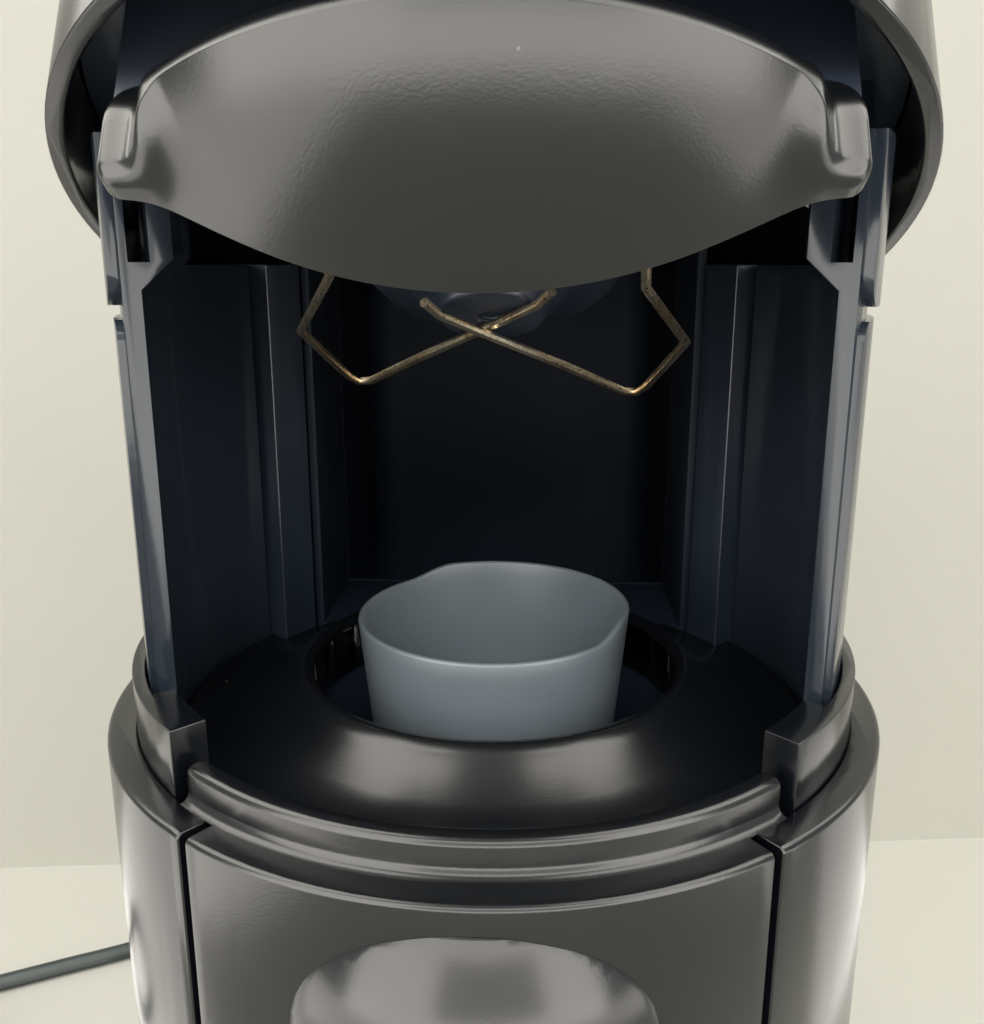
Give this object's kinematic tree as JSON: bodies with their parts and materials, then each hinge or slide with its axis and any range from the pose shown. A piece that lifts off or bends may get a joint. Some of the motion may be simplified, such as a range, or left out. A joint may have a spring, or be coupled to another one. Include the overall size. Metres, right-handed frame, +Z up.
{
  "type": "pod coffee machine",
  "caption": "Slim round pod coffee machine, shown open: tilted domed head on two lift columns, spinning pod holder, round spout, drip tray, used pod bin and rear water tank.",
  "frame": {"origin": "On the table, at the middle of the rubber pad under the base, straight under the axis of the brewing chamber.", "axes": "+Z up along the axis that the pod holder turns about, -Y to the front where the spout is, +X to the right as seen from behind, so the left column is at -X."},
  "size_m": [0.3664, 0.3493, 0.3888],
  "materials": {
    "glossy_black_plastic": "polished",
    "satin_charcoal": "satin",
    "matte_black_plastic": "matte",
    "slate_plastic": "satin",
    "rubber": "matte",
    "spring_steel": "bright",
    "bright_metal": "polished",
    "acetal": "natural",
    "brass": "turned",
    "cast_aluminium": "cast",
    "motor_steel": "rolled",
    "smoked_tank": "clear, smoked",
    "board_green": "solder mask",
    "hose_silicone": "soft",
    "cord_jacket": "matte"
  },
  "bodies": {
    "machine": {"rubber_feet": "rubber", "base_plate": "matte_black_plastic", "base_shell": "glossy_black_plastic", "column_front": "matte_black_plastic", "rear_shell": "glossy_black_plastic", "side_shell_left": "glossy_black_plastic", "side_shell_right": "glossy_black_plastic", "front_cover": "satin_charcoal", "spout_cover": "satin_charcoal", "coffee_spout": "matte_black_plastic", "coffee_duct": "matte_black_plastic", "unit_floor": "matte_black_plastic", "guide_frame": "matte_black_plastic", "guard_ring": "glossy_black_plastic", "deck_dish": "satin_charcoal", "collector_bowl": "matte_black_plastic", "holder_bearing": "brass", "drive_belt": "rubber", "spin_motor": "motor_steel", "lift_gearmotor": "motor_steel", "rear_hood": "glossy_black_plastic", "pod_chute": "matte_black_plastic", "tank_seal": "rubber", "water_pump": "acetal", "boiler": "cast_aluminium", "water_pipes": "hose_silicone", "control_board": "board_green", "case_screws": "motor_steel", "strain_relief": "rubber", "mains_cord": "cord_jacket", "cord_coil": "cord_jacket", "mains_plug": "matte_black_plastic"},
    "carriage": {"lift_column_left": "glossy_black_plastic", "lift_column_right": "glossy_black_plastic", "head_arm_left": "glossy_black_plastic", "head_arm_right": "glossy_black_plastic", "lift_yoke": "matte_black_plastic", "lift_rack": "acetal", "hinge_pins": "bright_metal"},
    "head": {"head_shell": "glossy_black_plastic", "head_cover": "satin_charcoal", "head_frame": "matte_black_plastic", "brew_hub": "matte_black_plastic", "ejector_wire_left": "spring_steel", "ejector_wire_right": "spring_steel", "button_spring": "spring_steel"},
    "opening_lever": {"opening_lever": "bright_metal"},
    "start_button": {"start_button": "bright_metal"},
    "lift_pinion": {"lift_pinion": "acetal"},
    "holder": {"pod_holder": "slate_plastic", "holder_spindle": "acetal"},
    "motor_pulley": {"motor_pulley": "acetal"},
    "drip_tray": {"drip_tray": "matte_black_plastic", "drip_grid": "satin_charcoal"},
    "pod_bin": {"used_pod_bin": "matte_black_plastic", "bin_handle": "matte_black_plastic"},
    "tank": {"water_tank": "smoked_tank", "tank_valve": "acetal"},
    "tank_lid": {"tank_lid": "matte_black_plastic"}
  },
  "joints": [
    {"name": "head_lift", "type": "slide", "parent": "machine", "child": "carriage", "axis": [0, 0, -1], "range_m": [0, 0.0526]},
    {"name": "head_tilt", "type": "hinge", "parent": "carriage", "child": "head", "pos_m": [0, -0.01, 0.32375], "axis": [1, 0, 0], "range_deg": [0, 28.4]},
    {"name": "lift_drive", "type": "hinge", "parent": "machine", "child": "lift_pinion", "pos_m": [0, 0.0546, 0.149], "axis": [-1, 0, 0], "continuous": true},
    {"name": "holder_spin", "type": "hinge", "parent": "machine", "child": "holder", "pos_m": [0, 0, 0.193], "axis": [0, 0, 1], "continuous": true},
    {"name": "motor_spin", "type": "hinge", "parent": "machine", "child": "motor_pulley", "pos_m": [0.033, -0.016, 0.18], "axis": [0, 0, 1], "continuous": true},
    {"name": "lever_lift", "type": "hinge", "parent": "head", "child": "opening_lever", "pos_m": [0, -0.04706, 0.35612], "axis": [-1, 0, 0], "range_deg": [0, 8], "stiffness_Nm_per_rad": 0.5},
    {"name": "button_press", "type": "slide", "parent": "head", "child": "start_button", "axis": [0, -0.4756, -0.8797], "range_m": [0, 0.0015], "stiffness_N_per_m": 900, "springref_m": -0.001, "deforming": ["button_spring"]},
    {"name": "tray_slide", "type": "slide", "parent": "machine", "child": "drip_tray", "axis": [0, -1, 0], "range_m": [0, 0.075]},
    {"name": "bin_lift", "type": "slide", "parent": "machine", "child": "pod_bin", "axis": [0, 0, 1], "range_m": [0, 0.15]},
    {"name": "tank_lift", "type": "slide", "parent": "machine", "child": "tank", "axis": [0, 0, 1], "range_m": [0, 0.12]},
    {"name": "tank_lid_hinge", "type": "hinge", "parent": "tank", "child": "tank_lid", "pos_m": [0, 0.144, 0.2601], "axis": [1, 0, 0], "range_deg": [0, 75]}
  ],
  "couplings": [
    {"joint": "head_tilt", "follows": "head_lift", "rad_per_m": 9.4233},
    {"joint": "lift_drive", "follows": "head_lift", "rad_per_m": 166.67},
    {"joint": "motor_spin", "follows": "holder_spin", "ratio": 3}
  ]
}
